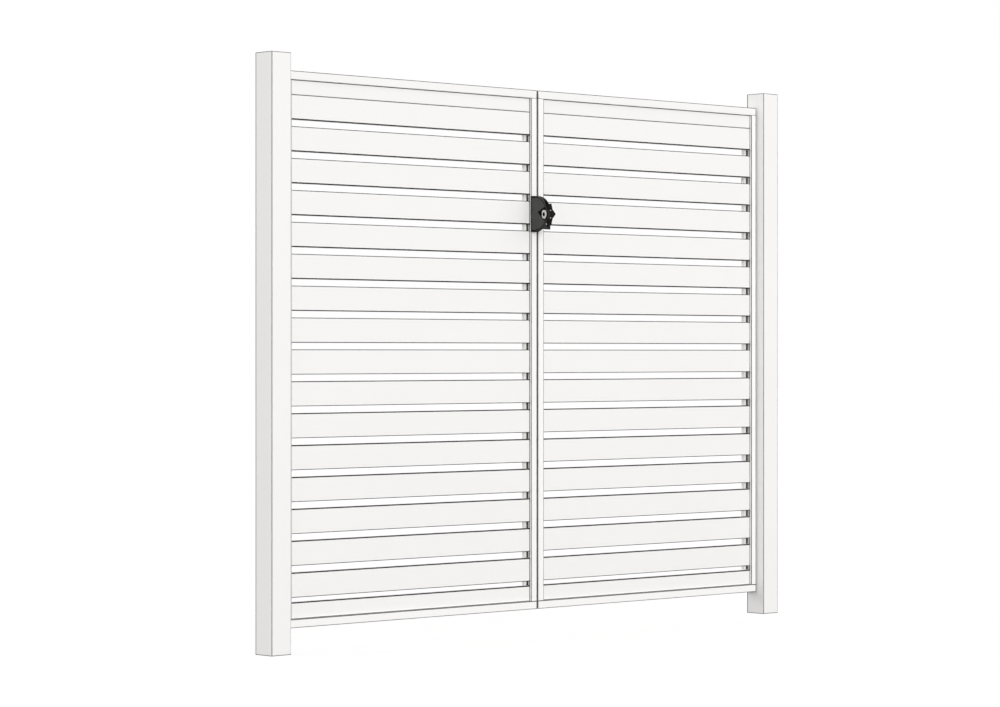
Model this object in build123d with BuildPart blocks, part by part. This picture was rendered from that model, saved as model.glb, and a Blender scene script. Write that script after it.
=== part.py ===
"""Double gate of powder-coated aluminium: two slatted leaves hung between square posts.

Millimetres, +Z up, +X from the left post to the right post, +Y to the rear.
The origin is the centre of the left post's foot.
"""
import os
from math import cos, hypot, pi, sin, sqrt

from build123d import *

os.makedirs("parts", exist_ok=True)

# Posts
post_width = 80.0
post_height = 1900.0
post_wall = 3.0
post_corner = 2.0
clear_opening = 2250.0
cap_plate = 2.0
cap_plug_depth = 20.0
plug_wall = 2.0

# Leaves
post_rise = 53.0
ground_gap = 80.0
post_gap = 5.0
meeting_gap = 8.0
frame_depth = 48.0
frame_wall = 2.0
frame_edge = 1.0
rail_height = 27.0
stile_width = 25.0
end_cap_plate = 2.0
end_plug_depth = 14.0

# Slats, boards and the spacers between them
slat_height = 80.0
slat_gap = 21.2
slat_thickness = 18.0
slat_wall = 1.5
slat_edge = 1.2
slat_setback = 9.0
slat_entry = 12.0
bottom_board_height = 53.7
bottom_board_gap = 14.3
top_board_least = 25.0
channel_depth = 14.0
groove_depth = 4.0
groove_width = 8.0
rear_lip = 2.4
spacer_thickness = 10.0
spacer_setback = 0.6
fit_clearance = 0.3

# Hinges
hinge_height = 100.0
hinge_inset = 250.0
hinge_plate = 3.0
post_plate_width = 30.0
leaf_plate_width = 18.0
knuckle_radius = 6.5
knuckle_wall_gap = 0.5
knuckle_gap = 0.5
pin_radius = 3.5
pin_clearance = 0.2
pin_head_radius = 5.5
pin_head_height = 2.5
pin_tail = 2.0
plate_corner = 4.0
plate_lap = 1.0

# Lock
lock_above_ground = 1425.0
lock_height = 122.0
lock_width = 27.0
lock_base_reach = 12.0
lock_edge = 1.5
lock_overhang = 6.0
chin_top = 22.0
chin_front_drop = 40.0
chin_front_setback = 2.0
chin_tip_setback = 3.5
chin_tip_rise = 6.5
chin_notch_setback = 35.0
chin_notch_rise = 11.0
left_cheek = 9.0
wheel_thickness = 6.5
wheel_side_gap = 1.0
wheel_rim_gap = 3.0
wheel_setback = 9.0
wheel_drop = 3.0
wheel_points = 6
wheel_tip_radius = 42.0
wheel_valley_radius = 31.0
wheel_tip_round = 2.0
wheel_valley_round = 4.0
wheel_bevel = 0.8
mouth_behind_wheel = 25.0
mouth_apex_rise = 3.0
mouth_rise = 20.0
mouth_fall = 33.0
mouth_depth = 3.0
barrel_radius = 8.0
barrel_clearance = 0.2
rim_width = 20.0
rim_height = 30.0
rim_bevel = 0.8
rim_clearance = 0.2
keyway_width = 2.5
keyway_height = 9.0
keyway_depth = 1.5

# Where the main planes lie
half_post = post_width / 2
post_spacing = clear_opening + post_width
meeting_x = post_spacing / 2
leaf_left = half_post + post_gap
leaf_right = meeting_x - meeting_gap / 2
leaf_width = leaf_right - leaf_left
leaf_rear = half_post
leaf_front = leaf_rear - frame_depth
leaf_bottom = ground_gap
leaf_top = post_height - post_rise
infill_bottom = leaf_bottom + rail_height
infill_top = leaf_top - rail_height
meeting_plane = Plane.YZ.offset(meeting_x)
leaf_middle_plane = Plane.YZ.offset((leaf_left + leaf_right) / 2)

# How the slats share the height between the rails
slat_pitch = slat_height + slat_gap
first_slat_bottom = infill_bottom + bottom_board_height + bottom_board_gap
slat_room = infill_top - top_board_least - first_slat_bottom
slat_count = int((slat_room + slat_gap) // slat_pitch)
slat_bottoms = [first_slat_bottom + i * slat_pitch for i in range(slat_count)]
top_board_bottom = slat_bottoms[-1] + slat_height
top_board_height = infill_top - top_board_bottom
slat_y = leaf_front + slat_setback + slat_thickness / 2
slat_left = leaf_left + stile_width - slat_entry
slat_length = leaf_width - 2 * (stile_width - slat_entry)


def save(piece, name):
    """Label one finished piece and write it."""
    piece.part.label = name
    export_step(piece.part, f"parts/{name}.step")


def save_pair(piece, name):
    """Write a left-hand piece and its mirror image across the meeting line."""
    save(piece, f"left_{name}")
    with BuildPart() as mirrored:
        mirror(piece.part, about=meeting_plane)
    save(mirrored, f"right_{name}")


# Post: a square tube that stands on its open end
with BuildPart() as post:
    with BuildSketch():
        RectangleRounded(post_width, post_width, post_corner)
        Rectangle(post_width - 2 * post_wall, post_width - 2 * post_wall, mode=Mode.SUBTRACT)
    extrude(amount=post_height - cap_plate)
save_pair(post, "post")

# Post cap: a flat plate with a hollow plug that drops into the tube
cap_plug_width = post_width - 2 * (post_wall + fit_clearance)
with BuildPart() as post_cap:
    with BuildSketch(Plane.XY.offset(post_height - cap_plate)):
        RectangleRounded(post_width, post_width, post_corner)
    extrude(amount=cap_plate)
    chamfer(post_cap.faces().sort_by(Axis.Z)[-1].edges(), cap_plate / 2)
    with BuildSketch(Plane.XY.offset(post_height - cap_plate)):
        Rectangle(cap_plug_width, cap_plug_width)
        Rectangle(cap_plug_width - 2 * plug_wall, cap_plug_width - 2 * plug_wall, mode=Mode.SUBTRACT)
    extrude(amount=-cap_plug_depth)
save_pair(post_cap, "post_cap")

# Rails: rectangular tubes over the full width of the leaf, less their end caps
rail_bottoms = {"bottom_rail": leaf_bottom, "top_rail": infill_top}
frame_middle_y = leaf_front + frame_depth / 2
for rail_name, rail_bottom in rail_bottoms.items():
    with BuildPart() as rail:
        with BuildSketch(Plane.YZ.offset(leaf_left + end_cap_plate)) as rail_section:
            with Locations((frame_middle_y, rail_bottom + rail_height / 2)):
                Rectangle(frame_depth, rail_height)
                chamfer(rail_section.vertices(), frame_edge)
                Rectangle(frame_depth - 2 * frame_wall, rail_height - 2 * frame_wall, mode=Mode.SUBTRACT)
        extrude(amount=leaf_width - 2 * end_cap_plate)
    save_pair(rail, rail_name)

# Rail end caps: one at each end of both rails, each with a plug inside the tube
end_plug_height = rail_height - 2 * (frame_wall + fit_clearance)
end_plug_length = frame_depth - 2 * (frame_wall + fit_clearance)
end_centres = [(frame_middle_y, z + rail_height / 2) for z in rail_bottoms.values()]
with BuildPart() as rail_end_caps:
    with BuildSketch(Plane.YZ.offset(leaf_left)) as end_section:
        with Locations(*end_centres):
            Rectangle(frame_depth, rail_height)
        chamfer(end_section.vertices(), frame_edge)
    extrude(amount=end_cap_plate)
    with BuildSketch(Plane.YZ.offset(leaf_left + end_cap_plate)):
        with Locations(*end_centres):
            Rectangle(end_plug_length, end_plug_height)
            Rectangle(end_plug_length - 2 * plug_wall, end_plug_height - 2 * plug_wall, mode=Mode.SUBTRACT)
    extrude(amount=end_plug_depth)
    mirror(about=leaf_middle_plane)
save_pair(rail_end_caps, "rail_end_caps")

# Stile: an extrusion with a channel for the slats, a shallow groove at the rear and closed chambers
stile_inner_x = leaf_right - stile_width
channel_front = slat_setback - fit_clearance
channel_width = slat_thickness + 2 * fit_clearance
middle_front = channel_front + channel_width + frame_wall
groove_front = frame_depth - rear_lip - groove_width
rear_chamber_inner = groove_depth + frame_wall
chamber_inner = channel_depth + frame_wall
chamber_width = stile_width - chamber_inner - frame_wall
lip_chamber_width = channel_depth - frame_wall
stile_voids = {
    "channel": (0, channel_front, channel_depth, channel_width),
    "groove": (0, groove_front, groove_depth, groove_width),
    "main chamber": (chamber_inner, frame_wall, chamber_width, frame_depth - 2 * frame_wall),
    "front lip chamber": (frame_wall, frame_wall, lip_chamber_width, channel_front - 2 * frame_wall),
    "middle chamber": (frame_wall, middle_front, lip_chamber_width, groove_front - frame_wall - middle_front),
    "rear chamber": (
        rear_chamber_inner,
        groove_front,
        channel_depth - rear_chamber_inner,
        frame_depth - frame_wall - groove_front,
    ),
}
with BuildPart() as meeting_stile:
    with BuildSketch(Plane.XY.offset(infill_bottom)) as stile_section:
        with Locations((leaf_right - stile_width / 2, frame_middle_y)):
            Rectangle(stile_width, frame_depth)
        chamfer(stile_section.vertices(), frame_edge)
        for inward, back, across, deep in stile_voids.values():
            with Locations((stile_inner_x + inward, leaf_front + back)):
                Rectangle(across, deep, align=(Align.MIN, Align.MIN), mode=Mode.SUBTRACT)
    extrude(amount=infill_top - infill_bottom)
save_pair(meeting_stile, "meeting_stile")

with BuildPart() as hinge_stile:
    mirror(meeting_stile.part, about=leaf_middle_plane)
save_pair(hinge_stile, "hinge_stile")

# Slats: hollow boards with broken edges, their ends in the stile channels
slat_bore = slat_thickness - 2 * slat_wall
with BuildPart() as slats:
    with BuildSketch(Plane.YZ.offset(slat_left)) as slat_sections:
        slat_centres = [(slat_y, z + slat_height / 2) for z in slat_bottoms]
        with Locations(*slat_centres):
            Rectangle(slat_thickness, slat_height)
        chamfer(slat_sections.vertices(), slat_edge)
        with Locations(*slat_centres):
            Rectangle(slat_bore, slat_height - 2 * slat_wall, mode=Mode.SUBTRACT)
    extrude(amount=slat_length)
save_pair(slats, "slats")

# Boards that close the infill: one stands on the bottom rail, one fits under the top rail
boards = {
    "bottom_board": (infill_bottom, bottom_board_height),
    "top_board": (top_board_bottom, top_board_height),
}
for board_name, (board_bottom, board_height) in boards.items():
    with BuildPart() as board:
        with BuildSketch(Plane.YZ.offset(slat_left)) as board_section:
            with Locations((slat_y, board_bottom + board_height / 2)):
                Rectangle(slat_thickness, board_height)
                chamfer(board_section.vertices(), slat_edge)
                Rectangle(slat_bore, board_height - 2 * slat_wall, mode=Mode.SUBTRACT)
        extrude(amount=slat_length)
    save_pair(board, board_name)

# Spacers: moulded blocks in the stile channel that carry each slat at its pitch
spacer_rows = [(infill_bottom + bottom_board_height, bottom_board_gap)]
spacer_rows += [(z + slat_height, slat_gap) for z in slat_bottoms[:-1]]
spacer_depth = channel_depth - spacer_setback
spacer_rear = slat_y + slat_thickness / 2
with BuildPart() as meeting_spacers:
    with BuildSketch(Plane.YZ.offset(stile_inner_x + spacer_setback)):
        for spacer_bottom, spacer_height in spacer_rows:
            with Locations((spacer_rear, spacer_bottom)):
                Rectangle(spacer_thickness, spacer_height, align=(Align.MAX, Align.MIN))
    extrude(amount=spacer_depth)
save_pair(meeting_spacers, "meeting_spacers")

with BuildPart() as hinge_spacers:
    mirror(meeting_spacers.part, about=leaf_middle_plane)
save_pair(hinge_spacers, "hinge_spacers")

# Hinges: three-knuckle butt hinges on the rear faces, turning on a headed pin
hinge_x = half_post + post_gap / 2
hinge_y = leaf_rear + knuckle_wall_gap + knuckle_radius
plate_start = knuckle_radius + hinge_plate / 2
knuckle_height = hinge_height / 3
pin_bore = pin_radius + pin_clearance
hinge_centres = {"lower": leaf_bottom + hinge_inset, "upper": leaf_top - hinge_inset}
plate_plane = Plane.XZ.offset(-leaf_rear)
for height_name, hinge_z in hinge_centres.items():
    hinge_bottom = hinge_z - hinge_height / 2
    outer_bottoms = (hinge_bottom, hinge_bottom + 2 * knuckle_height)

    with BuildPart() as post_hinge:
        with BuildSketch(plate_plane) as post_plate:
            with Locations((hinge_x - plate_start - post_plate_width / 2, hinge_z)):
                Rectangle(post_plate_width, hinge_height)
            chamfer(post_plate.vertices().group_by(Axis.X)[0], plate_corner)
            for z in outer_bottoms:
                with Locations((hinge_x, z)):
                    Rectangle(plate_start + plate_lap, knuckle_height, align=(Align.MAX, Align.MIN))
        extrude(amount=-hinge_plate)
        for z in outer_bottoms:
            with BuildSketch(Plane.XY.offset(z)):
                with Locations((hinge_x, hinge_y)):
                    Circle(knuckle_radius)
            extrude(amount=knuckle_height)
        with BuildSketch(Plane.XY.offset(hinge_bottom)):
            with Locations((hinge_x, hinge_y)):
                Circle(pin_bore)
        extrude(amount=hinge_height, mode=Mode.SUBTRACT)
    save_pair(post_hinge, f"{height_name}_post_hinge")

    leaf_knuckle_height = knuckle_height - 2 * knuckle_gap
    leaf_knuckle_bottom = hinge_bottom + knuckle_height + knuckle_gap
    with BuildPart() as leaf_hinge:
        with BuildSketch(plate_plane) as leaf_plate:
            with Locations((hinge_x + plate_start + leaf_plate_width / 2, hinge_z)):
                Rectangle(leaf_plate_width, hinge_height)
            chamfer(leaf_plate.vertices().group_by(Axis.X)[-1], plate_corner)
            with Locations((hinge_x, leaf_knuckle_bottom)):
                Rectangle(plate_start + plate_lap, leaf_knuckle_height, align=(Align.MIN, Align.MIN))
        extrude(amount=-hinge_plate)
        with BuildSketch(Plane.XY.offset(leaf_knuckle_bottom)):
            with Locations((hinge_x, hinge_y)):
                Circle(knuckle_radius)
        extrude(amount=leaf_knuckle_height)
        with BuildSketch(Plane.XY.offset(hinge_bottom)):
            with Locations((hinge_x, hinge_y)):
                Circle(pin_bore)
        extrude(amount=hinge_height, mode=Mode.SUBTRACT)
    save_pair(leaf_hinge, f"{height_name}_leaf_hinge")

    with BuildPart() as hinge_pin:
        with BuildSketch(Plane.XY.offset(hinge_bottom - pin_tail)):
            with Locations((hinge_x, hinge_y)):
                Circle(pin_radius)
        extrude(amount=hinge_height + pin_tail)
        with BuildSketch(Plane.XY.offset(hinge_bottom + hinge_height)):
            with Locations((hinge_x, hinge_y)):
                Circle(pin_head_radius)
        extrude(amount=pin_head_height)
    save_pair(hinge_pin, f"{height_name}_hinge_pin")

# Lock: a moulded housing on the left leaf's meeting stile, seen from the side as a D with a chin.
# Its side profile is drawn with the first coordinate forward from the stile and the second upward.
lock_left = stile_inner_x - lock_overhang
lock_right = lock_left + lock_width


def lock_plane(x):
    """A side plane of the lock at one X, with forward and up as its axes."""
    return Plane((x, leaf_front, lock_above_ground), x_dir=(0, -1, 0), z_dir=(-1, 0, 0))


nose_radius = lock_height / 2
nose_reach = lock_base_reach + nose_radius
chin_arc_reach = lock_base_reach + sqrt(nose_radius**2 - chin_top**2)
wheel_slot_width = wheel_thickness + 2 * wheel_side_gap
wheel_right = lock_left + left_cheek + wheel_side_gap + wheel_thickness
wheel_slot_right = wheel_right + wheel_side_gap
wheel_centre = (nose_reach - wheel_setback, -wheel_drop)
with BuildPart() as lock_housing:
    with BuildSketch(lock_plane(lock_right)):
        with BuildLine():
            Polyline((0, -nose_radius), (0, nose_radius), (lock_base_reach, nose_radius))
            ThreePointArc(
                (lock_base_reach, nose_radius),
                (lock_base_reach + nose_radius * sqrt(0.5), nose_radius * sqrt(0.5)),
                (chin_arc_reach, -chin_top),
            )
            Polyline(
                (chin_arc_reach, -chin_top),
                (nose_reach - chin_front_setback, -chin_front_drop),
                (nose_reach - chin_tip_setback, chin_tip_rise - nose_radius),
                (nose_reach - chin_notch_setback, chin_notch_rise - nose_radius),
                (lock_base_reach, -nose_radius),
                (0, -nose_radius),
            )
        make_face()
    extrude(amount=lock_width)
    cheeks = lock_housing.faces().filter_by(Axis.X)
    chamfer(cheeks.edges(), lock_edge)
    with BuildSketch(lock_plane(lock_left + mouth_depth)):
        with BuildLine():
            Polyline(
                (wheel_centre[0] - mouth_behind_wheel, mouth_apex_rise),
                (nose_reach, mouth_rise),
                (nose_reach, -mouth_fall),
                close=True,
            )
        make_face()
    extrude(amount=mouth_depth, mode=Mode.SUBTRACT)
    with BuildSketch(lock_plane(lock_left + mouth_depth)):
        with Locations(wheel_centre):
            SlotOverall(rim_height + 2 * rim_clearance, rim_width + 2 * rim_clearance, rotation=90)
    extrude(amount=mouth_depth, mode=Mode.SUBTRACT)
    with BuildSketch(lock_plane(wheel_slot_right)):
        with Locations(wheel_centre):
            Circle(wheel_tip_radius + wheel_rim_gap)
    extrude(amount=wheel_slot_width, mode=Mode.SUBTRACT)
    with BuildSketch(lock_plane(lock_right)):
        with Locations(wheel_centre):
            Circle(barrel_radius + barrel_clearance)
    extrude(amount=lock_width, mode=Mode.SUBTRACT)
save(lock_housing, "lock_housing")

# Lock wheel: a six-pointed star that turns on the cylinder's barrel
star_corners = []
for i in range(2 * wheel_points):
    corner_radius = wheel_valley_radius if i % 2 else wheel_tip_radius
    corner_angle = pi * i / wheel_points
    star_corners.append((corner_radius * cos(corner_angle), corner_radius * sin(corner_angle)))
star_mid_radius = (wheel_tip_radius + wheel_valley_radius) / 2


def from_wheel_axis(vertex):
    """Distance of a corner of the star's outline from the wheel's axis."""
    return hypot(vertex.X - wheel_centre[0], vertex.Y - wheel_centre[1])


with BuildPart() as lock_wheel:
    with BuildSketch(lock_plane(wheel_right)) as star:
        with Locations(wheel_centre):
            Polygon(*star_corners, align=None)
        tips = [v for v in star.vertices() if from_wheel_axis(v) > star_mid_radius]
        fillet(tips, wheel_tip_round)
        valleys = [v for v in star.vertices() if from_wheel_axis(v) < star_mid_radius]
        fillet(valleys, wheel_valley_round)
        with Locations(wheel_centre):
            Circle(barrel_radius + barrel_clearance, mode=Mode.SUBTRACT)
    extrude(amount=wheel_thickness)
    chamfer(lock_wheel.faces().filter_by(Axis.X).edges(), wheel_bevel)
save(lock_wheel, "lock_wheel")

# Lock cylinder: an oval rim in the mouth of the left cheek and the barrel behind it
with BuildPart() as lock_cylinder:
    with BuildSketch(lock_plane(lock_left + mouth_depth)):
        with Locations(wheel_centre):
            SlotOverall(rim_height, rim_width, rotation=90)
    extrude(amount=mouth_depth)
    chamfer(lock_cylinder.faces().sort_by(Axis.X)[0].edges(), rim_bevel)
    with BuildSketch(lock_plane(lock_right)):
        with Locations(wheel_centre):
            Circle(barrel_radius)
    extrude(amount=lock_width - mouth_depth)
    with BuildSketch(lock_plane(lock_left + keyway_depth)):
        with Locations(wheel_centre):
            Rectangle(keyway_width, keyway_height)
    extrude(amount=keyway_depth, mode=Mode.SUBTRACT)
save(lock_cylinder, "lock_cylinder")
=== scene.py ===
"""Looks of a white slatted double gate: its coats, plastics and metals, and the small fittings on it.

Lengths are metres. The left post stands on the origin, +X runs along the gate to the right post and +Y
points to the rear, where the leaves swing.
"""
import logging
import math
from dataclasses import dataclass
from enum import Enum
from functools import lru_cache
from typing import Any

import bpy
import numpy as np
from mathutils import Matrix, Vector


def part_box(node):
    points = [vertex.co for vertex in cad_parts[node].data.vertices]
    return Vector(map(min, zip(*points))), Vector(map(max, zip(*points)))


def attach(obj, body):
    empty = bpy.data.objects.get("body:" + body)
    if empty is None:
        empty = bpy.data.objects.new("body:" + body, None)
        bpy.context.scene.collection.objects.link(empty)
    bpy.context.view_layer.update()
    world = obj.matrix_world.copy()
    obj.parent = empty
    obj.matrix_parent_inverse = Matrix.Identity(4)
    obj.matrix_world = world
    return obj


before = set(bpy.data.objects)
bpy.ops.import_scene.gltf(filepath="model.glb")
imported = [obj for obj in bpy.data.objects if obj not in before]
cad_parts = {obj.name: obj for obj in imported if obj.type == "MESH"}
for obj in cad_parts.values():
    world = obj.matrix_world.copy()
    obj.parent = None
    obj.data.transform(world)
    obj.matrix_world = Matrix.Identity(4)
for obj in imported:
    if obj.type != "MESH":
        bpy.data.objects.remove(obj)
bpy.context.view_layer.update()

LOG = logging.getLogger("gate")

Triple = tuple[float, float, float]
Colour = Triple

MM = 0.001
# Place of a line that a piece doesn't have
FAR_AWAY = 100.0
# How far a fitting's foot goes into what carries it
SINK = 0.1 * MM
# Faces that meet at less than this are shaded as one
SHARP_ANGLE = math.radians(32)


class Body(Enum):
    """Bodies that move as one."""

    POSTS = "posts"
    LEFT_LEAF = "left_leaf"
    RIGHT_LEAF = "right_leaf"
    LOCK_WHEEL = "lock_wheel"


class Slot(Enum):
    """The record's finishes, by name."""

    BLACK_PLASTIC = "black_plastic"
    STEEL_PIN = "steel_pin"
    LOCK_PLASTIC = "lock_plastic"
    LOCK_METAL = "lock_metal"


class Side(Enum):
    """The two halves of the gate."""

    LEFT = "left"
    RIGHT = "right"

    @property
    def leaf(self) -> Body:
        """The leaf that hangs on this side."""
        return Body.LEFT_LEAF if self is Side.LEFT else Body.RIGHT_LEAF

    @property
    def outward(self) -> float:
        """Sign of X from the meeting line to this side's post."""
        return -1.0 if self is Side.LEFT else 1.0


class Level(Enum):
    """The two hinges of a leaf."""

    LOWER = "lower"
    UPPER = "upper"


@dataclass(frozen=True)
class Box:
    """An upright box between two corners, in the gate's frame."""

    low: np.ndarray
    high: np.ndarray

    @classmethod
    def around(cls, *nodes: str) -> "Box":
        """The box that holds the named nodes."""
        boxes = [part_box(node) for node in nodes]
        low = np.min([np.array(box[0]) for box in boxes], axis=0)
        high = np.max([np.array(box[1]) for box in boxes], axis=0)
        return cls(low, high)

    @property
    def centre(self) -> np.ndarray:
        """Middle of the box."""
        return (self.low + self.high) / 2

    @property
    def half(self) -> np.ndarray:
        """Half the box's size along each axis."""
        return (self.high - self.low) / 2

    def grown(self, low: Triple = (0, 0, 0), high: Triple = (0, 0, 0)) -> "Box":
        """The box with its corners moved outwards.

        Args:
            low: How far the lowest corner moves down each axis.
            high: How far the highest corner moves up each axis.

        Returns:
            The larger box.
        """
        return Box(self.low - np.array(low), self.high + np.array(high))


class NodePen:
    """Adds nodes to a shader tree and joins them."""

    def __init__(self, tree: bpy.types.NodeTree) -> None:
        """Keep the tree that the nodes go into."""
        self.tree = tree

    def add(self, kind: str, inputs: dict[str | int, Any] | None = None,
            **settings: Any) -> bpy.types.Node:
        """Add one node.

        Args:
            kind: Blender's name of the node's type.
            inputs: For each input, the socket that feeds it or its constant value.
            settings: Properties of the node, such as its operation.

        Returns:
            The new node.
        """
        node = self.tree.nodes.new(kind)
        for name, value in settings.items():
            setattr(node, name, value)
        for key, value in (inputs or {}).items():
            if isinstance(value, bpy.types.NodeSocket):
                self.tree.links.new(value, node.inputs[key])
            else:
                node.inputs[key].default_value = value
        return node

    def math(self, operation: str, *terms: Any) -> bpy.types.NodeSocket:
        """The result of a Math node on the given terms."""
        return self.add("ShaderNodeMath", dict(enumerate(terms)), operation=operation).outputs[0]

    def vector_math(self, operation: str, *terms: Any) -> bpy.types.NodeSocket:
        """The result of a Vector Math node on the given terms."""
        return self.add("ShaderNodeVectorMath", dict(enumerate(terms)), operation=operation).outputs[0]

    def blend(self, mask: Any, first: Any, second: Any) -> bpy.types.NodeSocket:
        """The first colour where the mask is 0 and the second where it is 1."""
        return self.add("ShaderNodeMix", {0: mask, 6: first, 7: second}, data_type="RGBA").outputs[2]


def new_group(name: str, inputs: dict[str, str], outputs: dict[str, str]) -> tuple[NodePen, Any, Any]:
    """Start a shader node group with named sockets.

    Args:
        name: The group's name.
        inputs: Blender's socket type for each input.
        outputs: Blender's socket type for each output.

    Returns:
        A pen for the group's tree, its input node's outputs and its output node's inputs.
    """
    tree = bpy.data.node_groups.new(name, "ShaderNodeTree")
    for socket, kind in inputs.items():
        tree.interface.new_socket(socket, in_out="INPUT", socket_type=kind)
    for socket, kind in outputs.items():
        tree.interface.new_socket(socket, in_out="OUTPUT", socket_type=kind)
    pen = NodePen(tree)
    return pen, pen.add("NodeGroupInput").outputs, pen.add("NodeGroupOutput").inputs


@lru_cache(maxsize=None)
def painted_edge_shade() -> bpy.types.NodeTree:
    """Group that paints fine dark lines along the edges of a box, painted shade of its edges, narrow faces
    and joints.

    A surface point's distances to the box's faces along X, Y and Z are the half sizes less its distances
    from the centre. On a face one of them is nought, so the middle one of the three is the distance to the
    nearest edge, and the line is where that is less than its width. A row of boxes folds Z by its pitch
    first. A seam is a line of painted shade up the faces that look along X, at one Y. Lines on the edges
    that look away from a level, the eye's height, are heavier, by a weight times their height from it and
    by no more than a share of the line's width: painted shade for the narrow undersides and tops seen from
    that height.

    Returns:
        The group's tree.
    """
    pen, given, result = new_group(
        "Painted edge shade",
        {"Centre": "NodeSocketVector", "Half size": "NodeSocketVector", "Pitch": "NodeSocketFloat",
         "Front seam": "NodeSocketFloat", "Rear seam": "NodeSocketFloat",
         "Line width": "NodeSocketFloat", "Level": "NodeSocketFloat", "Weight": "NodeSocketFloat"},
        {"Line": "NodeSocketFloat"},
    )
    most_extra = 0.9
    faded_at = 1.3
    place = pen.add("ShaderNodeTexCoord").outputs["Object"]
    from_centre = pen.vector_math("SUBTRACT", place, given["Centre"])
    offset = pen.add("ShaderNodeSeparateXYZ", {0: from_centre}).outputs
    half_pitch = pen.math("MULTIPLY", given["Pitch"], 0.5)
    folded = pen.math("WRAP", offset["Z"], half_pitch, pen.math("MULTIPLY", half_pitch, -1.0))
    within = pen.add("ShaderNodeCombineXYZ", {0: offset["X"], 1: offset["Y"], 2: folded}).outputs[0]
    inset = pen.vector_math("SUBTRACT", given["Half size"], pen.vector_math("ABSOLUTE", within))
    x, y, whole_z = pen.add("ShaderNodeSeparateXYZ", {0: inset}).outputs
    point = pen.add("ShaderNodeSeparateXYZ", {0: place}).outputs
    below = pen.math("SUBTRACT", given["Level"], point["Z"])
    looks_away = pen.math("GREATER_THAN", pen.math("MULTIPLY", folded, below), 0.0)
    extra = pen.math("MINIMUM", pen.math("MULTIPLY", pen.math("ABSOLUTE", below), given["Weight"]),
                     pen.math("MULTIPLY", given["Line width"], most_extra))
    z = pen.math("SUBTRACT", whole_z, pen.math("MULTIPLY", looks_away, extra))
    larger = pen.math("MAXIMUM", x, y)
    to_edge = pen.math("MAXIMUM", pen.math("MINIMUM", x, y), pen.math("MINIMUM", larger, z))
    to_front = pen.math("ABSOLUTE", pen.math("SUBTRACT", point["Y"], given["Front seam"]))
    to_rear = pen.math("ABSOLUTE", pen.math("SUBTRACT", point["Y"], given["Rear seam"]))
    to_seam = pen.math("MAXIMUM", x, pen.math("MINIMUM", to_front, to_rear))
    nearest = pen.math("MINIMUM", to_edge, to_seam)
    # Painted shade: 1 within the line's width, fading to 0 just beyond it
    fade = pen.math("MULTIPLY", given["Line width"], faded_at)
    line = pen.add("ShaderNodeMapRange", {0: nearest, 1: given["Line width"], 2: fade, 3: 1.0, 4: 0.0},
                   interpolation_type="SMOOTHSTEP")
    pen.tree.links.new(line.outputs[0], result["Line"])
    return pen.tree


@lru_cache(maxsize=None)
def fine_grain() -> bpy.types.NodeTree:
    """Group with the grain of a sprayed or moulded surface and the slow change of its tone.

    Height is a noise of the grain's size, Roughness is the given one moved by that noise, and Tone is a
    noise of the patch's size between 0 and 1.

    Returns:
        The group's tree.
    """
    pen, given, result = new_group(
        "Fine grain",
        {"Grain size": "NodeSocketFloat", "Patch size": "NodeSocketFloat", "Roughness": "NodeSocketFloat",
         "Spread": "NodeSocketFloat"},
        {"Height": "NodeSocketFloat", "Roughness": "NodeSocketFloat", "Tone": "NodeSocketFloat"},
    )
    place = pen.add("ShaderNodeTexCoord").outputs["Object"]
    grain_scale = pen.math("DIVIDE", 1.0, given["Grain size"])
    grain = pen.add("ShaderNodeTexNoise", {"Vector": place, "Scale": grain_scale, "Detail": 2.0,
                                           "Roughness": 0.5}).outputs[0]
    patch_scale = pen.math("DIVIDE", 1.0, given["Patch size"])
    patch = pen.add("ShaderNodeTexNoise", {"Vector": place, "Scale": patch_scale, "Detail": 3.0,
                                           "Roughness": 0.55}).outputs[0]
    swing = pen.math("MULTIPLY", pen.math("SUBTRACT", grain, 0.5), given["Spread"])
    tone = pen.add("ShaderNodeMapRange", {0: patch, 1: 0.3, 2: 0.7, 3: 0.0, 4: 1.0}).outputs[0]
    pen.tree.links.new(grain, result["Height"])
    pen.tree.links.new(pen.math("ADD", given["Roughness"], swing), result["Roughness"])
    pen.tree.links.new(tone, result["Tone"])
    return pen.tree


@lru_cache(maxsize=None)
def turning_marks() -> bpy.types.NodeTree:
    """Group with the fine rings that a lathe leaves on turned metal.

    The rings are a noise of one coordinate, the place along the turning axis, so they run round the piece.

    Returns:
        The group's tree.
    """
    pen, given, result = new_group(
        "Turning marks",
        {"Axis": "NodeSocketVector", "Ring size": "NodeSocketFloat", "Roughness": "NodeSocketFloat"},
        {"Height": "NodeSocketFloat", "Roughness": "NodeSocketFloat"},
    )
    roughness_swing = 0.2
    place = pen.add("ShaderNodeTexCoord").outputs["Object"]
    dot = pen.add("ShaderNodeVectorMath", {0: place, 1: given["Axis"]}, operation="DOT_PRODUCT")
    along = pen.math("DIVIDE", dot.outputs["Value"], given["Ring size"])
    ring = pen.add("ShaderNodeTexNoise", {"W": along, "Scale": 1.0, "Detail": 4.0, "Roughness": 0.7},
                   noise_dimensions="1D").outputs[0]
    rough = pen.math("MULTIPLY_ADD", ring, roughness_swing, given["Roughness"])
    pen.tree.links.new(ring, result["Height"])
    pen.tree.links.new(rough, result["Roughness"])
    return pen.tree


def rgba(colour: Colour, share: float = 1.0) -> tuple[float, float, float, float]:
    """A colour with each channel times a share, as Blender's sockets take it."""
    return (colour[0] * share, colour[1] * share, colour[2] * share, 1.0)


def new_material(name: str) -> tuple[bpy.types.Material, NodePen, bpy.types.Node]:
    """Start a material.

    Args:
        name: The material's name.

    Returns:
        The material, a pen for its tree, and its Principled shader.
    """
    material = bpy.data.materials.new(name)
    material.use_nodes = True
    pen = NodePen(material.node_tree)
    return material, pen, material.node_tree.nodes["Principled BSDF"]


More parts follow.
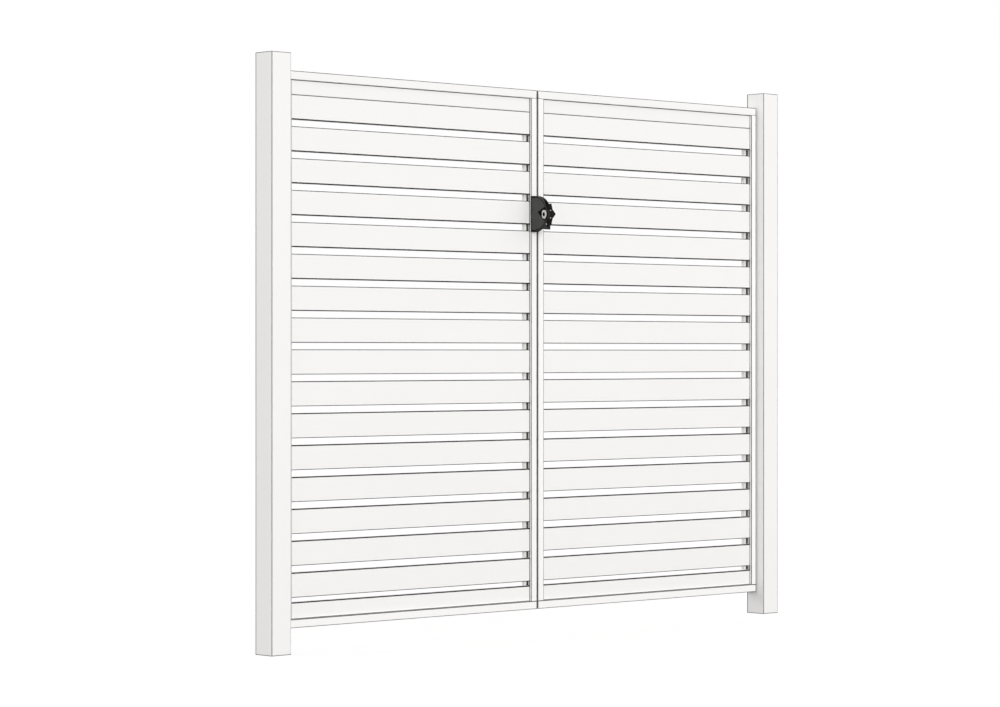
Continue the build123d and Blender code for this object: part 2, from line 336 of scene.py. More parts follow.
@dataclass(frozen=True)
class Grain:
    """The grain of a sprayed or moulded surface."""

    size: float
    height: float
    patch: float
    roughness: float
    spread: float
    strength: float = 0.5

    def apply(self, pen: NodePen, shader: bpy.types.Node) -> bpy.types.NodeSocket:
        """Give a shader the grain's bumps and roughness.

        Args:
            pen: A pen for the material's tree.
            shader: Its Principled shader.

        Returns:
            The slow change of tone, from 0 to 1.
        """
        group = pen.add("ShaderNodeGroup", {"Grain size": self.size, "Patch size": self.patch,
                                            "Roughness": self.roughness, "Spread": self.spread},
                        node_tree=fine_grain())
        bump = pen.add("ShaderNodeBump", {"Strength": self.strength, "Distance": self.height,
                                          "Height": group.outputs["Height"]})
        pen.tree.links.new(group.outputs["Roughness"], shader.inputs["Roughness"])
        pen.tree.links.new(bump.outputs["Normal"], shader.inputs["Normal"])
        return group.outputs["Tone"]


SPRAYED = Grain(size=1.6 * MM, height=0.02 * MM, patch=0.35, roughness=0.42, spread=0.12)
MOULDED = Grain(size=0.7 * MM, height=0.03 * MM, patch=0.06, roughness=0.5, spread=0.2, strength=0.6)


@dataclass(frozen=True)
class Outline:
    """Where a white piece's lines of painted edge shade run. A pitch or seam that it doesn't have is far
    away.
    """

    box: Box
    pitch: float = FAR_AWAY
    front_seam: float = FAR_AWAY
    rear_seam: float = FAR_AWAY
    # Painted shade is heavier on the edges that look away from this level, by the weight
    level: float = 0.0
    weight: float = 0.0


@dataclass(frozen=True)
class WhiteSkin:
    """White coat or plastic with a fine grain and thin dark lines of painted shade along its edges."""

    colour: Colour
    edge_shade_colour: Colour = (0.02, 0.02, 0.02)
    line_width: float = 1.7 * MM
    specular: float = 0.12
    tone_drop: float = 0.985
    grain: Grain = SPRAYED

    def material(self, name: str, outline: Outline) -> bpy.types.Material:
        """Make the skin for one piece.

        Args:
            name: The material's name.
            outline: Where the piece's lines of painted edge shade run.

        Returns:
            The material.
        """
        material, pen, shader = new_material(name)
        edges = pen.add("ShaderNodeGroup",
                        {"Centre": outline.box.centre, "Half size": outline.box.half, "Pitch": outline.pitch,
                         "Front seam": outline.front_seam, "Rear seam": outline.rear_seam,
                         "Line width": self.line_width, "Level": outline.level, "Weight": outline.weight},
                        node_tree=painted_edge_shade())
        tone = self.grain.apply(pen, shader)
        coat = pen.blend(tone, rgba(self.colour, self.tone_drop), rgba(self.colour))
        # Painted shade: the dark lines along the edges and joints
        lined = pen.blend(edges.outputs["Line"], coat, rgba(self.edge_shade_colour))
        pen.tree.links.new(lined, shader.inputs["Base Color"])
        shader.inputs["Specular IOR Level"].default_value = self.specular
        return material


@dataclass(frozen=True)
class MouldedPlastic:
    """Injection-moulded plastic whose front face may have a colour of its own."""

    colour: Colour
    specular: float
    front_colour: Colour | None = None
    tone_drop: float = 0.9
    grain: Grain = MOULDED

    def material(self, name: str, front: float = 0.0) -> bpy.types.Material:
        """Make the plastic's material.

        Args:
            name: The material's name.
            front: Y behind which the plastic has its main colour, where the front has its own.

        Returns:
            The material.
        """
        material, pen, shader = new_material(name)
        tone = self.grain.apply(pen, shader)
        colour = pen.blend(tone, rgba(self.colour, self.tone_drop), rgba(self.colour))
        if self.front_colour is not None:
            place = pen.add("ShaderNodeTexCoord").outputs["Object"]
            depth = pen.add("ShaderNodeSeparateXYZ", {0: place}).outputs["Y"]
            colour = pen.blend(pen.math("LESS_THAN", depth, front), colour, rgba(self.front_colour))
        pen.tree.links.new(colour, shader.inputs["Base Color"])
        shader.inputs["Specular IOR Level"].default_value = self.specular
        return material


@dataclass(frozen=True)
class LockPolymer:
    """Dark moulded polymer with grey faces and black edges.

    The mouth's lips are given as directions, forward and up, from its apex.
    """

    face_colour: Colour = (0.073, 0.073, 0.072)
    nose_colour: Colour = (0.034, 0.034, 0.034)
    hub_colour: Colour = (0.05, 0.05, 0.05)
    point_colour: Colour = (0.013, 0.013, 0.013)
    edge_colour: Colour = (0.004, 0.004, 0.004)
    skin_depth: float = 0.3 * MM
    chamfer: float = 1.6 * MM
    base_border: float = 7.0 * MM
    nose_border: float = 0.6 * MM
    nose_from: float = 34.0 * MM
    chin_from: float = 42.0 * MM
    chin_drop: float = 20.0 * MM
    far_band: float = 14.0 * MM
    base_reach: float = 12.0 * MM
    hub_radius: float = 19.0 * MM
    mouth_apex: tuple[float, float] = (39.0 * MM, 3.0 * MM)
    upper_lip: tuple[float, float] = (34.0 * MM, 17.0 * MM)
    # Width of the painted shade under the upper lip
    upper_lip_shade_width: float = 4.4 * MM
    lower_lip: tuple[float, float] = (34.0 * MM, -36.0 * MM)
    lower_lip_width: float = 1.6 * MM
    tone_drop: float = 0.93
    specular: float = 0.06
    grain: Grain = MOULDED

    def finish(self, pen: NodePen, shader: bpy.types.Node, face: Any, nose: Any) -> None:
        """Colour a shader by two masks.

        Args:
            pen: A pen for the material's tree.
            shader: Its Principled shader.
            face: 1 where the polymer is grey.
            nose: 1 where it is dark grey. It is black where both are 0.
        """
        tone = self.grain.apply(pen, shader)
        grey = pen.blend(tone, rgba(self.face_colour, self.tone_drop), rgba(self.face_colour))
        dark = pen.blend(nose, rgba(self.edge_colour), rgba(self.nose_colour))
        pen.tree.links.new(pen.blend(face, dark, grey), shader.inputs["Base Color"])
        shader.inputs["Specular IOR Level"].default_value = self.specular

    def lips(self, pen: NodePen, reach: Any, rise: Any) -> bpy.types.NodeSocket:
        """Mark painted shade along the edges of the mouth recess, two straight lips that part from its apex.

        The distance from a lip's line is the cross product of its unit direction and the offset from the
        apex, taken outwards from the mouth.

        Args:
            pen: A pen for the material's tree.
            reach: Distance forward from the stile.
            rise: Height over the housing's middle.

        Returns:
            1 within the width of either lip, else 0.
        """
        forward = pen.math("SUBTRACT", reach, self.mouth_apex[0])
        upward = pen.math("SUBTRACT", rise, self.mouth_apex[1])
        beyond = []
        for lip, width, outward in ((self.upper_lip, self.upper_lip_shade_width, 1.0),
                                    (self.lower_lip, self.lower_lip_width, -1.0)):
            length = math.hypot(*lip)
            along = pen.math("MULTIPLY", upward, outward * lip[0] / length)
            across = pen.math("MULTIPLY", forward, outward * lip[1] / length)
            beyond.append(pen.math("SUBTRACT", pen.math("SUBTRACT", along, across), width))
        return pen.math("LESS_THAN", pen.math("MAXIMUM", *beyond), 0.0)

    def housing(self, name: str, box: Box) -> bpy.types.Material:
        """Make the polymer for the housing.

        The cheeks are the housing's faces across X. Their outline is a half circle of half the box's height
        in front of a short straight base. The cheeks are grey, with a black border that narrows towards the
        nose, and black lips of painted shade round the mouth's recess, widest under the upper lip. The upper
        nose, between the cheek's broken edge and a black band along the right edge, and the chin below are
        dark grey.

        Args:
            name: The material's name.
            box: The housing's own box.

        Returns:
            The material.
        """
        material, pen, shader = new_material(name)
        place = pen.add("ShaderNodeTexCoord").outputs["Object"]
        x, y, z = pen.add("ShaderNodeSeparateXYZ", {0: place}).outputs
        from_middle = pen.math("ABSOLUTE", pen.math("SUBTRACT", x, float(box.centre[0])))
        on_cheek = pen.math("GREATER_THAN", from_middle, float(box.half[0]) - self.skin_depth)
        reach = pen.math("SUBTRACT", float(box.high[1]), y)
        ahead = pen.math("MAXIMUM", pen.math("SUBTRACT", reach, self.base_reach), 0.0)
        rise = pen.math("SUBTRACT", z, float(box.centre[2]))
        square = pen.math("ADD", pen.math("POWER", ahead, 2.0), pen.math("POWER", rise, 2.0))
        radius = pen.math("SQRT", square)
        to_arc = pen.math("SUBTRACT", float(box.half[2]), radius)
        border = pen.add("ShaderNodeMapRange", {0: ahead, 1: 0.0, 2: self.nose_from, 3: self.base_border,
                                                4: self.nose_border}).outputs[0]
        inside = pen.math("GREATER_THAN", pen.math("MINIMUM", to_arc, reach), border)
        near_edge = pen.math("GREATER_THAN", x, float(box.low[0]) + self.chamfer)
        off_band = pen.math("LESS_THAN", x, float(box.high[0]) - self.far_band)
        outside = pen.math("LESS_THAN", to_arc, self.skin_depth)
        across = pen.math("MULTIPLY", pen.math("MULTIPLY", near_edge, off_band), outside)
        upper = pen.math("MULTIPLY", across, pen.math("GREATER_THAN", rise, 0.0))
        # Painted shade: the mouth's lips are black, widest under the upper lip
        clear = pen.math("SUBTRACT", inside, pen.math("MULTIPLY", inside, self.lips(pen, reach, rise)))
        below = pen.math("LESS_THAN", rise, -self.chin_drop)
        chin = pen.math("MULTIPLY", below, pen.math("GREATER_THAN", ahead, self.chin_from))
        nose = pen.math("MAXIMUM", upper, chin)
        self.finish(pen, shader, pen.math("MULTIPLY", on_cheek, clear), nose)
        return material

    def wheel(self, name: str, box: Box) -> bpy.types.Material:
        """Make the polymer for the wheel, with a grey hub, darker points and a black edge.

        Args:
            name: The material's name.
            box: The wheel's own box.

        Returns:
            The material.
        """
        material, pen, shader = new_material(name)
        place = pen.add("ShaderNodeTexCoord").outputs["Object"]
        x = pen.add("ShaderNodeSeparateXYZ", {0: place}).outputs["X"]
        from_middle = pen.math("ABSOLUTE", pen.math("SUBTRACT", x, float(box.centre[0])))
        on_face = pen.math("GREATER_THAN", from_middle, float(box.half[0]) - self.skin_depth)
        from_axis = pen.vector_math("SUBTRACT", place, box.centre)
        across = pen.vector_math("MULTIPLY", from_axis, (0.0, 1.0, 1.0))
        radius = pen.add("ShaderNodeVectorMath", {0: across}, operation="LENGTH").outputs["Value"]
        hub = pen.math("LESS_THAN", radius, self.hub_radius)
        self.grain.apply(pen, shader)
        face = pen.blend(hub, rgba(self.point_colour), rgba(self.hub_colour))
        pen.tree.links.new(pen.blend(on_face, rgba(self.edge_colour), face), shader.inputs["Base Color"])
        shader.inputs["Specular IOR Level"].default_value = self.specular
        return material


@dataclass(frozen=True)
class TurnedMetal:
    """Bare metal with fine turning marks."""

    colour: Colour
    roughness: float
    ring_size: float = 0.5 * MM
    ring_height: float = 0.01 * MM
    ring_strength: float = 0.5
    tone_drop: float = 0.85

    def material(self, name: str, axis: Triple) -> bpy.types.Material:
        """Make the metal's material.

        Args:
            name: The material's name.
            axis: Direction of the turning axis.

        Returns:
            The material.
        """
        material, pen, shader = new_material(name)
        marks = pen.add("ShaderNodeGroup", {"Axis": axis, "Ring size": self.ring_size,
                                            "Roughness": self.roughness}, node_tree=turning_marks())
        ring = marks.outputs["Height"]
        bump = pen.add("ShaderNodeBump", {"Strength": self.ring_strength, "Distance": self.ring_height,
                                          "Height": ring})
        colour = pen.blend(ring, rgba(self.colour, self.tone_drop), rgba(self.colour))
        pen.tree.links.new(colour, shader.inputs["Base Color"])
        pen.tree.links.new(marks.outputs["Roughness"], shader.inputs["Roughness"])
        pen.tree.links.new(bump.outputs["Normal"], shader.inputs["Normal"])
        shader.inputs["Metallic"].default_value = 1.0
        return material


POST_COAT = WhiteSkin(colour=(0.9, 0.891, 0.875))
FRAME_COAT = WhiteSkin(colour=(0.938, 0.929, 0.913))
SLAT_COAT = WhiteSkin(colour=(0.9, 0.891, 0.875), line_width=2.0 * MM)
HINGE_COAT = WhiteSkin(colour=(0.88, 0.87, 0.855), line_width=0.6 * MM)
END_CAP = WhiteSkin(colour=(0.91, 0.9, 0.885), grain=MOULDED)
BLACK_SPACER = MouldedPlastic(colour=(0.03, 0.03, 0.03), specular=0.3, front_colour=(0.8, 0.8, 0.79))
# Near-black, unreflecting plastic that paints the shade of the key hole
KEYHOLE_SHADE_PLASTIC = MouldedPlastic(colour=(0.004, 0.004, 0.004), specular=0.0)
# Dark rubber for the strip that paints the shade of the gap between the leaves
GAP_SHADE_RUBBER = MouldedPlastic(colour=(0.16, 0.16, 0.16), specular=0.0)
LOCK_POLYMER = LockPolymer()
STEEL = TurnedMetal(colour=(0.6, 0.6, 0.6), roughness=0.25)
NICKEL = TurnedMetal(colour=(0.64, 0.63, 0.61), roughness=0.36)


def dress(node: str, material: bpy.types.Material) -> None:
    """Give a node its finish."""
    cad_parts[node].material_slots[0].material = material
    LOG.info("%s: %s", node, material.name)


def lathe(radius: np.ndarray, height: np.ndarray, shape: np.ndarray) -> np.ndarray:
    """A surface of revolution whose section need not be round.

    At angle u and row v the point is (r(v) s(v, u) cos u, r(v) s(v, u) sin u, h(v)), where s is the
    section's radius as a share of r, which is 1 for a circle.

    Args:
        radius: r of each row.
        height: h of each row.
        shape: s of each row and angle, with the angles evenly spaced round the turn.

    Returns:
        Points as rows by angles by 3.
    """
    turn = np.linspace(0.0, 2 * np.pi, shape.shape[1], endpoint=False)
    reach = radius[:, None] * shape
    level = np.broadcast_to(height[:, None], shape.shape)
    return np.stack([reach * np.cos(turn), reach * np.sin(turn), level], axis=-1)


def placed(points: np.ndarray, centres: np.ndarray, normal: np.ndarray, first: np.ndarray) -> np.ndarray:
    """Copies of a surface that stand on given points.

    A point (a, b, h) of the surface goes to centre + a first + b (normal x first) + h normal.

    Args:
        points: Rows by angles by 3.
        centres: One centre for each copy.
        normal: Unit vector along the surface's own height.
        first: Unit vector along its first axis.

    Returns:
        Points as copies by rows by angles by 3.
    """
    axes = np.stack([first, np.cross(normal, first), normal])
    return centres[:, None, None, :] + points @ axes


def skin(name: str, rings: np.ndarray, material: bpy.types.Material, body: Body) -> None:
    """Make one piece from copies of a closed surface.

    Each copy is a grid of rows round an axis. The grid wraps round, and a centre point closes its first and
    its last row.

    Args:
        name: The piece's name.
        rings: Points as copies by rows by angles by 3, in the gate's frame.
        material: Its finish.
        body: The body that it moves with.
    """
    copies, rows, steps, _ = rings.shape
    ends = rings[:, (0, -1)].mean(axis=2)
    points = np.concatenate([rings.reshape(copies, rows * steps, 3), ends], axis=1)
    here = np.arange(steps)
    after = (here + 1) % steps
    start = np.arange(rows - 1)[:, None] * steps
    quads = np.stack([start + here, start + after, start + steps + after, start + steps + here], axis=-1)
    last = (rows - 1) * steps
    fans = np.concatenate([
        np.stack([after, here, np.full(steps, rows * steps)], axis=-1),
        np.stack([last + here, last + after, np.full(steps, rows * steps + 1)], axis=-1),
    ])
    shift = (np.arange(copies) * points.shape[1])[:, None, None]
    quads = (quads.reshape(1, -1, 4) + shift).reshape(-1, 4)
    fans = (fans[None] + shift).reshape(-1, 3)
    mesh = bpy.data.meshes.new(name)
    mesh.vertices.add(copies * points.shape[1])
    mesh.vertices.foreach_set("co", points.astype(np.float32).ravel())
    mesh.loops.add(quads.size + fans.size)
    corner_points = np.concatenate([quads.ravel(), fans.ravel()])
    mesh.loops.foreach_set("vertex_index", corner_points.astype(np.int32))
    mesh.polygons.add(len(quads) + len(fans))
    starts = np.concatenate([np.arange(len(quads)) * 4, quads.size + np.arange(len(fans)) * 3])
    mesh.polygons.foreach_set("loop_start", starts.astype(np.int32))
    mesh.polygons.foreach_set("use_smooth", np.ones(len(starts), dtype=bool))
    mesh.update(calc_edges=True)
    mesh.set_sharp_from_angle(angle=SHARP_ANGLE)
    mesh.materials.append(material)
    piece = bpy.data.objects.new(name, mesh)
    bpy.context.scene.collection.objects.link(piece)
    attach(piece, body.value)
    LOG.info("%s: %d faces on %s", name, len(starts), body.value)


@dataclass(frozen=True)
class SocketScrew:
    """A domed screw head with a hexagonal socket."""

    head_radius: float
    head_height: float
    rim_height: float
    socket_radius: float
    socket_depth: float
    socket_lip: float = 1.15
    floor_share: float = 0.5
    dome_rows: int = 7
    steps: int = 36

    def surface(self) -> np.ndarray:
        """The head's skin about its own axis.

        A short cylinder carries an elliptic dome, r = R cos t and h = rim + (H - rim) sin t, up to a
        hexagonal socket whose section is cos 30 / cos(u mod 60 - 30), a straight-sided hexagon.

        Returns:
            Points as rows by angles by 3.
        """
        last_turn = math.acos(self.socket_radius * self.socket_lip / self.head_radius)
        dome = np.linspace(0.0, last_turn, self.dome_rows)
        dome_radius = self.head_radius * np.cos(dome)
        dome_height = self.rim_height + (self.head_height - self.rim_height) * np.sin(dome)
        top = dome_height[-1]
        floor = top - self.socket_depth
        socket = self.socket_radius * np.array([1.0, 1.0, self.floor_share])
        radius = np.concatenate([[self.head_radius], dome_radius, socket])
        height = np.concatenate([[-SINK], dome_height, [top, floor, floor]])
        turn = np.linspace(0.0, 2 * np.pi, self.steps, endpoint=False)
        sixth = np.pi / 3
        hexagon = math.cos(sixth / 2) / np.cos(turn % sixth - sixth / 2)
        shape = np.ones((len(radius), self.steps))
        shape[-len(socket):] = hexagon
        return lathe(radius, height, shape)


@dataclass
class Posts:
    """The two square posts and their caps.

    An edge's value is how far its line of painted edge shade stands in from the post's outline, and a lap's
    how far it stands out.
    """

    right_edge: float = 0.6 * MM
    rear_edge: float = 2.2 * MM
    left_edge: float = 1.0 * MM
    front_lap: float = 1.2 * MM

    def dress(self) -> None:
        """Coat each post and its cap as one box, with no line at the joint between them."""
        for side in Side:
            post, cap = f"{side.value}_post", f"{side.value}_post_cap"
            right = self.right_edge if side is Side.RIGHT else 0.0
            whole = Box.around(post, cap)
            lined = whole.grown((-self.left_edge, self.front_lap, 0), (-right, -self.rear_edge, 0))
            coat = POST_COAT.material(f"{side.value} post coat", Outline(lined))
            dress(post, coat)
            dress(cap, coat)


@dataclass
class Leaf:
    """One slatted leaf.

    An edge's value is how far its line of painted edge shade stands in from a piece's outline, and a lap's
    how far it stands out.
    A line that stands out by no_line is off the piece.
    """

    side: Side
    slat_height: float = 80.0 * MM
    slat_gap: float = 21.2 * MM
    slat_setback: float = 9.0 * MM
    hinge_edge: float = 0.2 * MM
    # Painted shade: the lines at the meeting edge and at the slats' ends darken the gap and the joint there
    meeting_edge: float = 0.5 * MM
    front_lap: float = 1.6 * MM
    edge_seam: float = 1.2 * MM
    slat_end: float = 0.4 * MM
    strip_width: float = 5.0 * MM
    strip_height: float = 1.2 * MM
    strip_inset: float = 2.8 * MM
    strip_steps: int = 13
    groove_from_rear: float = 8.4 * MM
    joint_lap: float = 1.0 * MM
    no_line: float = 50.0 * MM
    spacer_bead: float = 0.5 * MM
    # Painted edge shade is heavier on edges that look away from the eye's level
    eye_level: float = 0.95
    edge_shade_weight: float = 7.0 * MM

    def node(self, name: str) -> str:
        """Full name of one of the leaf's nodes."""
        return f"{self.side.value}_{name}"

    def dress_frame(self) -> None:
        """Coat the rails and stiles, and give the end caps their plastic."""
        caps = self.node("rail_end_caps")
        is_left = self.side is Side.LEFT
        left_end = 0.0 if is_left else self.no_line
        right_end = -self.meeting_edge if is_left else -self.hinge_edge
        ends = Box.around(caps).grown((left_end, 0, 0), (right_end, 0, 0))
        rails = {}
        for name, coat, below in (("bottom_rail", FRAME_COAT, 0.0), ("top_rail", POST_COAT, self.no_line)):
            rail = Box.around(self.node(name))
            low = np.array([ends.low[0], *rail.low[1:]])
            high = np.array([ends.high[0], *rail.high[1:]])
            rails[name] = Box(low, high)
            outline = Outline(rails[name].grown((0, 0, below)))
            dress(self.node(name), coat.material(f"{self.node(name)} coat", outline))
        spacing = float(rails["top_rail"].low[2] - rails["bottom_rail"].low[2])
        dress(caps, END_CAP.material(f"{caps} plastic", Outline(rails["bottom_rail"], pitch=spacing)))
        meeting_lap = self.front_lap if is_left else self.no_line
        meeting_seam = self.edge_seam if is_left else self.slat_setback
        for name, left, right, seam in (("hinge_stile", 0.0, -self.hinge_edge, self.slat_setback),
                                        ("meeting_stile", meeting_lap, -self.meeting_edge, meeting_seam)):
            stile = Box.around(self.node(name))
            tall = stile.grown((left, 0, self.joint_lap), (right, 0, self.joint_lap))
            outline = Outline(tall, front_seam=float(stile.low[1]) + seam,
                              rear_seam=float(stile.high[1]) - self.groove_from_rear)
            dress(self.node(name), FRAME_COAT.material(f"{self.node(name)} coat", outline))

    def infill_box(self, name: str) -> Box:
        """Box of the slats or a board, on the left leaf only up to the line where they meet the stile."""
        box = Box.around(self.node(name))
        if self.side is Side.RIGHT:
            return box
        end = Box.around(self.node("meeting_stile")).low[0] - self.slat_end
        return box.grown(high=(end - box.high[0], 0, 0))

    def dress_infill(self) -> None:
        """Coat the slats and boards, and give the spacers their plastic."""
        for name, low in (("top_board", self.no_line), ("bottom_board", 0.0)):
            board = self.infill_box(name).grown((0, 0, low))
            outline = Outline(board, level=self.eye_level, weight=self.edge_shade_weight)
            dress(self.node(name), SLAT_COAT.material(f"{self.node(name)} coat", outline))
        row = self.infill_box("slats")
        first = Box(row.low, np.array([*row.high[:2], row.low[2] + self.slat_height]))
        outline = Outline(first, pitch=self.slat_height + self.slat_gap, level=self.eye_level,
                          weight=self.edge_shade_weight)
        dress(self.node("slats"), SLAT_COAT.material(f"{self.node('slats')} coat", outline))
        front = float(Box.around(self.node("hinge_spacers")).low[1]) + self.spacer_bead
        spacer = BLACK_SPACER.material(f"{self.side.value} spacer plastic", front)
        for name in ("hinge_spacers", "meeting_spacers"):
            dress(self.node(name), spacer)

    def dress(self) -> None:
        """Finish every node of the leaf."""
        self.dress_frame()
        self.dress_infill()

    def build_gap_shade_strip(self) -> None:
        """Run a thin black rubber strip up the leaf's meeting edge, a dark piece that paints the shade in
        the gap between the leaves.

        Its section is half an ellipse, (H cos u, W / 2 sin u) for u from -90 to 90 degrees, closed by its
        base.
        """
        stile = Box.around(self.node("meeting_stile"), self.node("rail_end_caps"))
        outward = self.side.outward
        edge = stile.low[0] if outward > 0 else stile.high[0]
        half_width = self.strip_width / 2
        turn = np.linspace(-np.pi / 2, np.pi / 2, self.strip_steps)
        section = np.stack([self.strip_height * np.cos(turn), half_width * np.sin(turn)], axis=-1)
        ends = np.repeat(np.array([stile.low[2], stile.high[2]])[:, None, None], len(turn), axis=1)
        rows = np.concatenate([np.broadcast_to(section, (2, *section.shape)), ends], axis=-1)
        foot = np.array([[edge, stile.low[1] + self.strip_inset + half_width, 0.0]])
        strip = placed(rows, foot, np.array([0, 0, 1]), np.array([-outward, 0, 0]))
        rubber = GAP_SHADE_RUBBER.material("gap shade strip rubber")
        skin(f"{self.side.value}_gap_shade_strip", strip, rubber, self.side.leaf)


@dataclass
class Hinge:
    """One three-knuckle hinge with its screws."""

    side: Side
    level: Level
    plate: float = 3.0 * MM
    post_screw_inset: float = 14.0 * MM
    leaf_screw_inset: float = 9.0 * MM
    screw_rise: float = 34.0 * MM
    screw: SocketScrew = SocketScrew(4.2 * MM, 2.4 * MM, 0.6 * MM, 1.7 * MM, 1.3 * MM)

    def node(self, name: str) -> str:
        """Full name of one of the hinge's nodes."""
        return f"{self.side.value}_{self.level.value}_{name}"

    def dress(self) -> None:
        """Coat the two halves and give the pin its metal."""
        for half in ("post_hinge", "leaf_hinge"):
            name = self.node(half)
            dress(name, HINGE_COAT.material(f"{name} coat", Outline(Box.around(name))))
        pin = self.node("hinge_pin")
        dress(pin, STEEL.material(f"{pin} steel", (0.0, 0.0, 1.0)))

    def build(self) -> None:
        """Set three screws in each plate, on the faces that look to the rear."""
        inward = -self.side.outward
        halves = (("post_hinge", Body.POSTS, -inward, self.post_screw_inset),
                  ("leaf_hinge", self.side.leaf, inward, self.leaf_screw_inset))
        for half, body, away, inset in halves:
            box = Box.around(self.node(half))
            outer_x = box.high[0] if away > 0 else box.low[0]
            rises = self.screw_rise * np.array([-1, 0, 1])
            middle = [outer_x - away * inset, box.low[1] + self.plate, box.centre[2]]
            centres = np.tile(middle, (len(rises), 1))
            centres[:, 2] += rises
            heads = placed(self.screw.surface(), centres, np.array([0, 1, 0]), np.array([1, 0, 0]))
            metal = STEEL.material(f"{self.node(half)} screw steel", (0.0, 1.0, 0.0))
            skin(f"{self.node(half)}_screws", heads, metal, body)


@dataclass
class Lock:
    """The lock on the left leaf's meeting stile, with its star wheel and key cylinder."""

    shutter_width: float = 10.2 * MM
    shutter_height: float = 14.0 * MM
    shutter_rim: float = 0.7 * MM
    shutter_dish: float = 0.25 * MM
    shutter_rows: int = 8
    shutter_steps: int = 48
    stud_reach: float = 26.0 * MM
    stud_count: int = 6
    stud: SocketScrew = SocketScrew(2.6 * MM, 0.7 * MM, 0.2 * MM, 1.0 * MM, 0.4 * MM)
    chin_screw: SocketScrew = SocketScrew(2.6 * MM, 1.2 * MM, 0.3 * MM, 1.0 * MM, 0.6 * MM)
    chin_screw_reach: float = 70.5 * MM
    chin_screw_drop: float = 36.0 * MM
    chin_screw_inset: float = 6.4 * MM
    chin_lean: float = 6.7

    def dress(self) -> None:
        """Give the housing and wheel their polymer and the cylinder its nickel."""
        dress("lock_housing", LOCK_POLYMER.housing("lock housing polymer", Box.around("lock_housing")))
        dress("lock_wheel", LOCK_POLYMER.wheel("lock wheel polymer", Box.around("lock_wheel")))
        dress("lock_cylinder", NICKEL.material("key rim nickel", (1.0, 0.0, 0.0)))

    def build_key_shutter(self) -> None:
        """Close the key hole with an oval dished shutter, whose near-black plastic paints the shade inside
        the key hole.

        Its rows shrink an ellipse towards the middle. The rim stands up, and the face inside it falls in a
        parabola, h = dish + (rim - dish) s^2 at the share s of the ellipse.
        """
        box = Box.around("lock_cylinder")
        centre = np.array([[box.low[0], *box.centre[1:]]])
        # Two rows up the rim's wall, one on its rounded top, then the dish
        share = np.linspace(0.9, 0.15, self.shutter_rows)
        dish = self.shutter_dish + (self.shutter_rim - self.shutter_dish) * share**2
        radius = np.concatenate([[1.0, 1.0, 0.95], share])
        height = np.concatenate([[-SINK, self.shutter_rim * 0.8, self.shutter_rim], dish])
        oval = lathe(radius, height, np.ones((len(radius), self.shutter_steps)))
        oval *= np.array([self.shutter_width / 2, self.shutter_height / 2, 1.0])
        face = placed(oval, centre, np.array([-1, 0, 0]), np.array([0, 1, 0]))
        plastic = KEYHOLE_SHADE_PLASTIC.material("key shutter shade plastic")
        skin("lock_key_shutter", face, plastic, Body.LEFT_LEAF)

    def build_wheel_studs(self) -> None:
        """Set a bright stud in each hollow of the star, on a circle about the wheel's axis."""
        box = Box.around("lock_wheel")
        turn = (1 + 2 * np.arange(self.stud_count)) * np.pi / self.stud_count
        centres = np.stack([np.full(self.stud_count, box.low[0]),
                            box.centre[1] - self.stud_reach * np.cos(turn),
                            box.centre[2] + self.stud_reach * np.sin(turn)], axis=-1)
        heads = placed(self.stud.surface(), centres, np.array([-1, 0, 0]), np.array([0, 1, 0]))
        nickel = NICKEL.material("stud nickel", (1.0, 0.0, 0.0))
        skin("lock_wheel_studs", heads, nickel, Body.LOCK_WHEEL)

    def build_chin_screw(self) -> None:
        """Set one screw on the chin's straight front, which leans forward by a few degrees."""
        box = Box.around("lock_housing")
        lean = math.radians(self.chin_lean)
        centre = np.array([[box.low[0] + self.chin_screw_inset, box.high[1] - self.chin_screw_reach,
                            box.centre[2] - self.chin_screw_drop]])
        normal = np.array([0.0, -math.cos(lean), math.sin(lean)])
        head = placed(self.chin_screw.surface(), centre, normal, np.array([1, 0, 0]))
        nickel = NICKEL.material("chin screw nickel", (0.0, 1.0, 0.0))
        skin("lock_chin_screw", head, nickel, Body.LEFT_LEAF)

    def build(self) -> None:
        """Make the lock's small fittings."""
        self.build_key_shutter()
        self.build_wheel_studs()
        self.build_chin_screw()


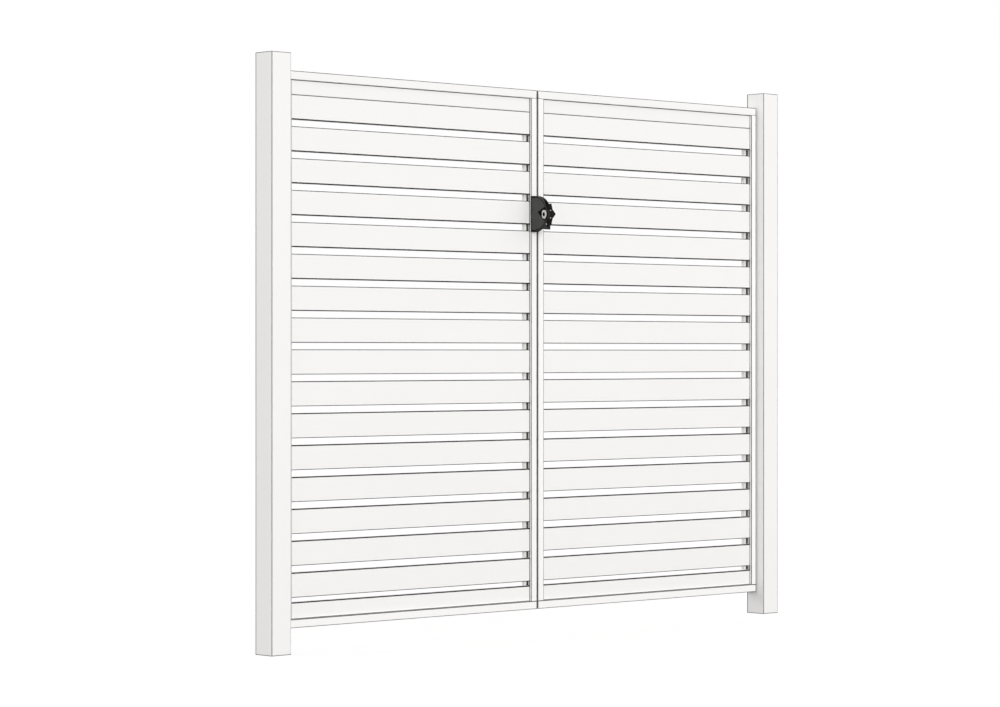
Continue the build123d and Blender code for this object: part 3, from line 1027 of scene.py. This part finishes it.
@dataclass(frozen=True)
class Studio:
    """A white floor and background, soft light and the camera."""

    floor_half: float = 40.0
    floor_colour: Colour = (0.3, 0.3, 0.3)
    floor_lift: float = 0.73
    sky_strength: float = 0.85
    key_strength: float = 1.57
    key_turn: Triple = (80.0, 0.0, -21.0)
    rear_strength: float = 0.75
    rear_turn: Triple = (62.0, 0.0, -155.0)
    lamp_spread: float = 25.0
    camera_place: Triple = (-6.39227, -7.66340, 0.95035)
    camera_turn: Triple = (90.0, 0.0, -43.943)
    camera_lens: float = 113.591
    camera_sensor: float = 36.0

    def seen_directly(self, pen: NodePen) -> bpy.types.NodeSocket:
        """1 for rays from the camera and for those that a mirror or glass passes on, else 0."""
        ray = pen.add("ShaderNodeLightPath").outputs
        passed_on = pen.math("MAXIMUM", ray["Is Glossy Ray"], ray["Is Transmission Ray"])
        return pen.math("MAXIMUM", ray["Is Camera Ray"], passed_on)

    def build_floor(self) -> None:
        """Lay a flat floor that is white to the camera and keeps the gate's shadow."""
        edge = self.floor_half
        mesh = bpy.data.meshes.new("floor")
        mesh.from_pydata([(-edge, -edge, 0), (edge, -edge, 0), (edge, edge, 0), (-edge, edge, 0)], [],
                         [(0, 1, 2, 3)])
        floor = bpy.data.objects.new("floor", mesh)
        bpy.context.scene.collection.objects.link(floor)
        material, pen, shader = new_material("floor white")
        shader.inputs["Base Color"].default_value = rgba(self.floor_colour)
        shader.inputs["Roughness"].default_value = 1.0
        shader.inputs["Specular IOR Level"].default_value = 0.0
        shader.inputs["Emission Color"].default_value = rgba((1.0, 1.0, 1.0))
        pen.tree.links.new(pen.math("MULTIPLY", self.seen_directly(pen), self.floor_lift),
                           shader.inputs["Emission Strength"])
        mesh.materials.append(material)

    def build_light(self) -> None:
        """Light the gate with an even sky, a soft lamp from the front left and a weak one from the rear."""
        world = bpy.data.worlds.new("studio")
        bpy.context.scene.world = world
        world.use_nodes = True
        pen = NodePen(world.node_tree)
        seen = self.seen_directly(pen)
        strength = pen.math("MULTIPLY_ADD", seen, 1.0 - self.sky_strength, self.sky_strength)
        sky = world.node_tree.nodes["Background"]
        sky.inputs["Color"].default_value = rgba((1.0, 1.0, 1.0))
        pen.tree.links.new(strength, sky.inputs["Strength"])
        for name, power, turn in (("key lamp", self.key_strength, self.key_turn),
                                  ("rear lamp", self.rear_strength, self.rear_turn)):
            lamp = bpy.data.lights.new(name, "SUN")
            lamp.energy = power
            lamp.angle = math.radians(self.lamp_spread)
            sun = bpy.data.objects.new(name, lamp)
            sun.rotation_euler = [math.radians(angle) for angle in turn]
            bpy.context.scene.collection.objects.link(sun)

    def build_camera(self) -> None:
        """Set the level camera at the photograph's viewing angle."""
        data = bpy.data.cameras.new("camera")
        data.lens = self.camera_lens
        data.sensor_width = self.camera_sensor
        camera = bpy.data.objects.new("camera", data)
        camera.location = self.camera_place
        camera.rotation_euler = [math.radians(turn) for turn in self.camera_turn]
        bpy.context.scene.collection.objects.link(camera)
        bpy.context.scene.camera = camera

    def build(self) -> None:
        """Make the whole studio."""
        bpy.context.scene.view_settings.view_transform = "Standard"
        self.build_floor()
        self.build_light()
        self.build_camera()


def main() -> None:
    """Dress the gate, add its fittings and set the studio round it."""
    logging.basicConfig(level=logging.INFO, format="%(name)s: %(message)s")
    Studio().build()
    Posts().dress()
    Leaf(Side.RIGHT).build_gap_shade_strip()
    for side in Side:
        Leaf(side).dress()
        for level in Level:
            hinge = Hinge(side, level)
            hinge.dress()
            hinge.build()
    lock = Lock()
    lock.dress()
    lock.build()


if __name__ == "__main__":
    main()
